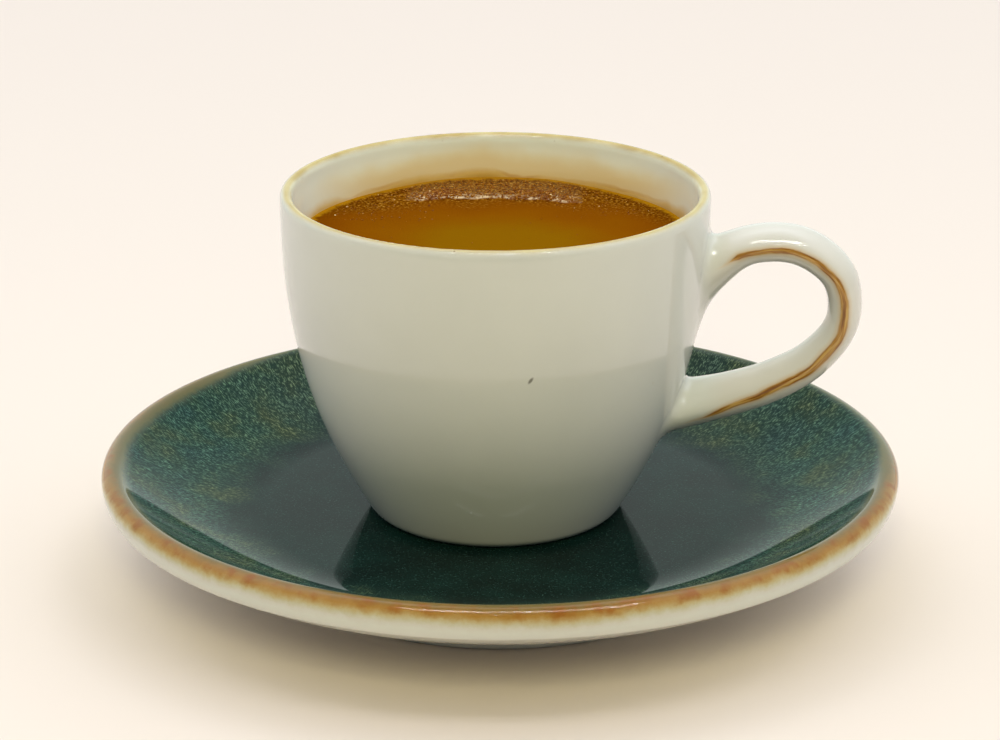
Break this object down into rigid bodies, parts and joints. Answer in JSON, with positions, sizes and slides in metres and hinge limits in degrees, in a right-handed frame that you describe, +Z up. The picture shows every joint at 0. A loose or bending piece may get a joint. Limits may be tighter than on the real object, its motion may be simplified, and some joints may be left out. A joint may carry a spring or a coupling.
{
  "type": "cup of coffee on a saucer",
  "caption": "Small handled white porcelain cup filled with golden brown coffee, standing on a round teal glazed saucer with an ochre rim.",
  "frame": {"origin": "centre of the saucer's foot ring, on the surface it stands on", "axes": "+Z up along the saucer's axis, +X towards the cup's handle"},
  "size_m": [0.118, 0.118, 0.0586],
  "materials": {
    "teal_glaze": "glossy reactive glaze, teal with fine streaks, ochre at the rim, white below",
    "white_glaze": "glossy warm white glaze, thin and ochre at the lip and the handle's edges",
    "coffee": "liquid, wet gloss, golden brown with a thin foam at the back edge"
  },
  "bodies": {
    "root": {"saucer": "teal_glaze", "cup": "white_glaze", "coffee": "coffee"}
  },
  "joints": []
}
